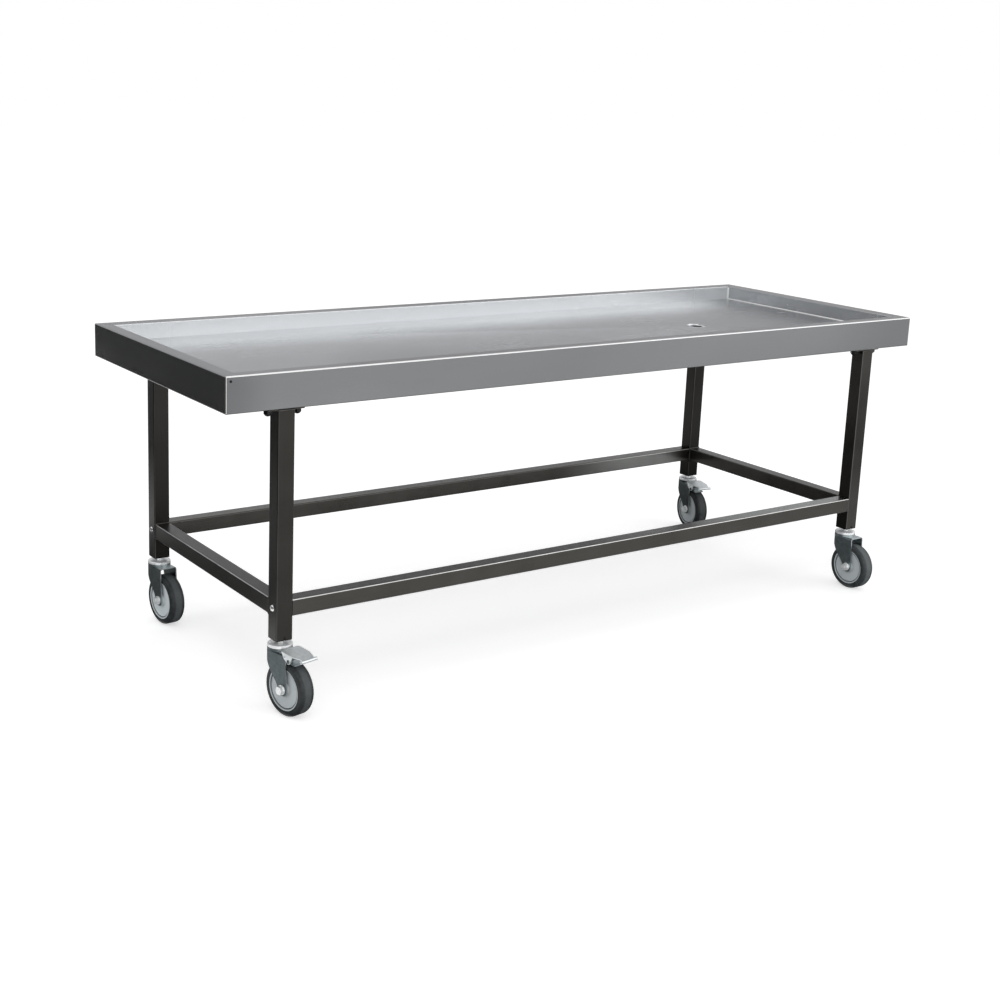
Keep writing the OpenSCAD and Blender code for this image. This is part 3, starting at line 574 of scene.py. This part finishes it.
# black rubber ring under the drain
gasketRubber = {
    "colour": (0.020, 0.020, 0.021),
    "paleColour": (0.045, 0.045, 0.046),
    "roughness": 0.6,
    "cloudRough": 0.2,
    "cloudSize": 0.006,
    "cloudDepth": 0.0001,
}


def makeGasketRubber(name, look):
    finish = Finish(name)
    cloud = finish.grain(look["cloudSize"])
    return finish.close({
        "Base Color": finish.blend(cloud, look["colour"], look["paleColour"]),
        "Roughness": look["roughness"] + cloud.swing(look["cloudRough"]),
        "Normal": finish.bump(cloud, look["cloudDepth"]),
    })


# every CAD node gets the finish of its material slot
slotOf = {row["node"]: row["material_slot"] for row in frame["record"]["subparts"]}
metalOfSlot = {
    "channel_sheet": "channelSheet",
    "drain_steel": "drainSteel",
    "bright_fastener": "brightFastener",
    "dark_fastener": "darkFastener",
    "zinc_bright": "zincBright",
    "zinc_pedal": "zincPedal",
    "ball_steel": "ballSteel",
}
sharedFinishes = {slot: makeMetal(name, metalLooks[name]) for slot, name in metalOfSlot.items()}
sharedFinishes["tray_sheet"] = makeTraySheet("traySheet", traySheet)
sharedFinishes["gasket_rubber"] = makeGasketRubber("gasketRubber", gasketRubber)


def casterOf(node):
    return next(name for name in casterNames if node.startswith(name))


def finishFor(node):
    slot = slotOf[node]
    if node == "drain_flange":
        return makeDrainRing("drainRing", drainRing)
    if slot == "frame_tube":
        return makeFrameTube(node, frameTube)
    if slot == "zinc_fork":
        return makeForkPlate("forkPlate." + casterOf(node), forkPlate, casterOf(node))
    if slot == "wheel_plastic":
        return makeWheelPlastic("wheelPlastic." + casterOf(node), wheelPlastic, casterOf(node))
    if slot == "tread_rubber":
        return makeTreadRubber("treadRubber." + casterOf(node), treadRubber, casterOf(node))
    return sharedFinishes[slot]


for node, thing in nodes.items():
    finish = finishFor(node)
    if not thing.material_slots:
        thing.data.materials.append(finish)
    for slot in thing.material_slots:
        slot.material = finish
print("finishes: done")


# weld beads: the basin's two welded ends, the leg tops under their plates, and the ends of the short rails
beads = {
    "basin": {"radius": 0.0021, "ripple": 0.10, "pitch": 0.0042},
    "post": {"radius": 0.0036, "ripple": 0.08, "pitch": 0.0050},
    "frame": {"radius": 0.0020, "ripple": 0.16, "pitch": 0.0036},
    "rimWidth": 0.035,
    "wallDepth": 0.040,
    "stop": 0.005,  # below the rim's top
    "step": 0.0010,
    "sides": 8,
    "easings": 6,
    "swellJitter": 0.012,
    "swellReturn": 0.05,
}


# the four corners of a rectangle, in turn
def around(left, right, low, high):
    return [(left, low), (right, low), (right, high), (left, high)]


# points a step apart along straight lines, with the corners eased
def steppedPath(corners, closed, step):
    ends = corners[1:] + corners[:1] if closed else corners[1:]
    points = []
    for start, end in zip(corners, ends):
        start, end = Vector(start), Vector(end)
        count = max(2, round((end - start).length / step))
        points += [start.lerp(end, index / count) for index in range(count)]
    if not closed:
        points.append(Vector(corners[-1]))
    for turn in range(beads["easings"]):
        before = points[-1:] + points[:-1]
        after = points[1:] + points[:1]
        eased = [(a + 2 * b + c) / 4 for a, b, c in zip(before, points, after)]
        points = eased if closed else points[:1] + eased[1:-1] + points[-1:]
    return points


# a rippled round bead whose path lies in the plane that normal stands on
def makeBead(name, corners, closed, normal, look, finish):
    points = steppedPath(corners, closed, beads["step"])
    sides = beads["sides"]
    chance = random.Random(name)
    normal = Vector(normal)
    verts = []
    swell = 1.0
    for index, point in enumerate(points):
        if closed:
            ahead, behind = points[(index + 1) % len(points)], points[index - 1]
        else:
            ahead, behind = points[min(index + 1, len(points) - 1)], points[max(index - 1, 0)]
        across = (ahead - behind).normalized().cross(normal)
        jitter = chance.uniform(-beads["swellJitter"], beads["swellJitter"])
        swell += (1.0 - swell) * beads["swellReturn"] + jitter
        wave = 1 + look["ripple"] * math.sin(2 * math.pi * index * beads["step"] / look["pitch"])
        radius = look["radius"] * wave * swell
        for side in range(sides):
            turn = 2 * math.pi * side / sides
            verts.append(point + radius * (math.cos(turn) * normal + math.sin(turn) * across))
    rings = len(points)
    faces = []
    for ring in range(rings if closed else rings - 1):
        here, there = ring * sides, (ring + 1) % rings * sides
        for side in range(sides):
            beside = (side + 1) % sides
            faces.append((here + side, here + beside, there + beside, there + side))
    if not closed:
        faces.append(tuple(reversed(range(sides))))
        faces.append(tuple(range((rings - 1) * sides, rings * sides)))
    mesh = bpy.data.meshes.new(name)
    mesh.from_pydata([tuple(vert) for vert in verts], [], faces)
    mesh.polygons.foreach_set("use_smooth", [True] * len(mesh.polygons))
    mesh.materials.append(finish)
    thing = bpy.data.objects.new(name, mesh)
    bpy.context.scene.collection.objects.link(thing)
    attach(thing, "frame")


# the basin is folded from one sheet along its length, and its two ends are welded in
def makeBasinSeams(look, finish):
    low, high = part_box("tray")
    rim = look["rimWidth"]
    near, far = low.y + rim, high.y - rim
    top, floor = high.z - look["stop"], high.z - look["wallDepth"]
    for end, x in (("left", low.x + rim), ("right", high.x - rim)):
        base = [(x, near, floor), (x, far, floor)]
        makeBead("basin_seam_" + end, base, False, (1, 0, 0), look["basin"], finish)
        for side, y in (("front", near), ("back", far)):
            post = [(x, y, floor), (x, y, top)]
            name = "basin_corner_" + side + "_" + end
            makeBead(name, post, False, (1, 0, 0), look["post"], finish)


def makeFrameBeads(look, finish):
    for caster in casterNames:
        low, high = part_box(caster + "_leg")
        corners = [(x, y, high.z) for x, y in around(low.x, high.x, low.y, high.y)]
        makeBead(caster + "_plate_bead", corners, True, (0, 0, 1), look, finish)
    for rail in ("left_rail", "right_rail"):
        low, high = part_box(rail)
        for end, y in (("front", low.y), ("back", high.y)):
            corners = [(x, y, z) for x, z in around(low.x, high.x, low.z, high.z)]
            makeBead(rail + "_bead_" + end, corners, True, (0, 1, 0), look, finish)


makeBasinSeams(beads, makeMetal("basinSeam", metalLooks["basinSeam"]))
makeFrameBeads(beads["frame"], makeMetal("weldBead", metalLooks["weldBead"]))
print("weld beads: done")


# camera; its lens axis stands off the picture's centre, and angles are degrees
camera = {
    "place": (-2.363, -3.053, 1.368),
    "yaw": 34.58,
    "pitch": 12.72,
    "roll": 2.10,
    "sensor": 36.0,
    "focalShare": 1.508,
    "shift": (0.045, -0.080),
    "farthest": 100.0,
}


def makeCamera(look):
    data = bpy.data.cameras.new("camera")
    data.sensor_width = look["sensor"]
    data.lens = look["sensor"] * look["focalShare"]
    data.shift_x, data.shift_y = look["shift"]
    data.clip_end = look["farthest"]
    thing = bpy.data.objects.new("camera", data)
    yaw, pitch, roll = (math.radians(look[name]) for name in ("yaw", "pitch", "roll"))
    forward = Vector((math.sin(yaw) * math.cos(pitch), math.cos(yaw) * math.cos(pitch), -math.sin(pitch)))
    level = forward.cross(Vector((0, 0, 1))).normalized()
    upright = level.cross(forward)
    right = math.cos(roll) * level + math.sin(roll) * upright
    up = -math.sin(roll) * level + math.cos(roll) * upright
    turn = Matrix((right, up, -forward)).transposed()
    thing.matrix_world = Matrix.Translation(look["place"]) @ turn.to_4x4()
    bpy.context.scene.collection.objects.link(thing)
    bpy.context.scene.camera = thing


makeCamera(camera)


# white floor that goes on to the horizon, a white room, and cards that only reflections show
studio = {
    "floorSize": 60.0,
    "floorColour": (0.80, 0.80, 0.80),
    "floorLift": 0.50,
    "roomColour": (1, 1, 1),
    "roomStrength": 0.72,
    "roughness": 0.9,
    "cards": {
        "darkCard": {"low": (-1.9, 2.3, 0.01), "high": (-1.9, 5, 1.15), "colour": (0.030, 0.030, 0.030)},
        "nearDarkCard": {
            "low": (-1.9, 1.7, 0.01), "high": (-1.9, 2.3, 1.15), "colour": (0.055, 0.055, 0.055),
        },
        "nearestDarkCard": {
            "low": (-1.9, -1.6, 0.01), "high": (-1.9, 1.7, 1.15), "colour": (0.14, 0.14, 0.14),
        },
        "floorCard": {"low": (-1.88, -1, 0.01), "high": (-1.30, 1.6, 0.01), "colour": (0.50, 0.50, 0.50)},
        "backFloorCard": {"low": (-1.88, 1.6, 0.01), "high": (-1.30, 3, 0.01), "colour": (0.04, 0.04, 0.04)},
        # painted shadow: grey sheets under the table, which reflections see in place of the floor's shadow
        "underCard": {"low": (-0.95, -0.5, 0.01), "high": (1.6, 1.05, 0.01), "colour": (0.20, 0.20, 0.20)},
        "underLeftCard": {
            "low": (-1.30, 0.2, 0.01), "high": (-0.95, 1.05, 0.01), "colour": (0.20, 0.20, 0.20),
        },
        "rightCard": {"low": (1.7, -2.3, 0.01), "high": (3.2, -1.1, 0.01), "colour": (0.15, 0.15, 0.15)},
        "lowLeftCard": {"low": (-6, 5, 0.1), "high": (2.3, 5, 1.4), "colour": (0.85, 0.85, 0.85)},
        "lowCard": {"low": (2.3, 5, 0.1), "high": (4.3, 5, 1.4), "colour": (0.38, 0.38, 0.38)},
        "lowRightCard": {"low": (4.3, 5, 0.1), "high": (9, 5, 1.4), "colour": (0.95, 0.95, 0.95)},
        "highLeftCard": {"low": (-6, 5, 1.4), "high": (2.3, 5, 4.5), "colour": (0.88, 0.88, 0.90)},
        "highCard": {"low": (2.3, 5, 1.4), "high": (9, 5, 4.5), "colour": (0.80, 0.80, 0.82)},
    },
}


# 1 where the camera, a reflection or a refraction sees the surface, 0 where it only gives light
def seenRays(tree):
    names = ("Is Camera Ray", "Is Glossy Ray", "Is Transmission Ray")
    camera, glossy, transmission = (addNode(tree, "ShaderNodeLightPath", {}, {}, name) for name in names)
    return camera.atLeast(glossy).atLeast(transmission)


# a flat sheet between two opposite corners, which share one coordinate
def makeSheet(name, low, high, colour, lift=0.0):
    first, second = (axis for axis in range(3) if low[axis] != high[axis])
    corners = []
    for a, b in around(low[first], high[first], low[second], high[second]):
        corner = list(low)
        corner[first], corner[second] = a, b
        corners.append(corner)
    mesh = bpy.data.meshes.new(name)
    mesh.from_pydata(corners, [], [(0, 1, 2, 3)])
    thing = bpy.data.objects.new(name, mesh)
    bpy.context.scene.collection.objects.link(thing)
    finish = Finish(name)
    sockets = {"Base Color": colour, "Roughness": studio["roughness"], "Specular IOR Level": 0.0}
    if lift:
        sockets.update({"Emission Color": seenRays(finish.tree), "Emission Strength": lift})
    mesh.materials.append(finish.close(sockets))
    return thing


def makeFloor(look):
    half = look["floorSize"] / 2
    makeSheet("floor", (-half, -half, 0), (half, half, 0), look["floorColour"], look["floorLift"])


def makeCards(looks):
    for name, look in looks.items():
        card = makeSheet(name, look["low"], look["high"], look["colour"])
        card.visible_camera = False
        card.visible_diffuse = False
        card.visible_shadow = False


def makeRoom(look):
    world = bpy.data.worlds.new("room")
    world.use_nodes = True
    bpy.context.scene.world = world
    tree = world.node_tree
    tree.nodes.clear()
    strength = seenRays(tree) * (1 - look["roomStrength"]) + look["roomStrength"]
    sockets = {"Color": look["roomColour"], "Strength": strength}
    background = addNode(tree, "ShaderNodeBackground", {}, sockets)
    addNode(tree, "ShaderNodeOutputWorld", {}, {"Surface": background})


lamps = {
    "front": {"place": (3.2, -5.4, 2.4), "aim": (0, 0, 0.7), "size": (7.0, 2.6), "watts": 100},
    "key": {"place": (-1.8, -2.8, 3.4), "aim": (0, 0, 0.5), "size": (2.0, 1.2), "watts": 22},
    "top": {"place": (0.0, 0.6, 3.6), "aim": (0, 0, 0.5), "size": (3.0, 1.2), "watts": 8},
    "near": {"place": (-3.3, -4.2, 2.0), "aim": (0, 0, 0.6), "size": (1.0, 0.6), "watts": 15},
}


def makeLamps(looks):
    for name, look in looks.items():
        data = bpy.data.lights.new(name, "AREA")
        data.shape = "RECTANGLE"
        data.size, data.size_y = look["size"]
        data.energy = look["watts"]
        lamp = bpy.data.objects.new(name, data)
        lamp.location = look["place"]
        aim = Vector(look["aim"]) - Vector(look["place"])
        lamp.rotation_euler = aim.to_track_quat("-Z", "Y").to_euler()
        lamp.visible_camera = False
        bpy.context.scene.collection.objects.link(lamp)


makeFloor(studio)
makeCards(studio["cards"])
makeRoom(studio)
makeLamps(lamps)
bpy.context.scene.view_settings.view_transform = "Standard"
print("studio: done")
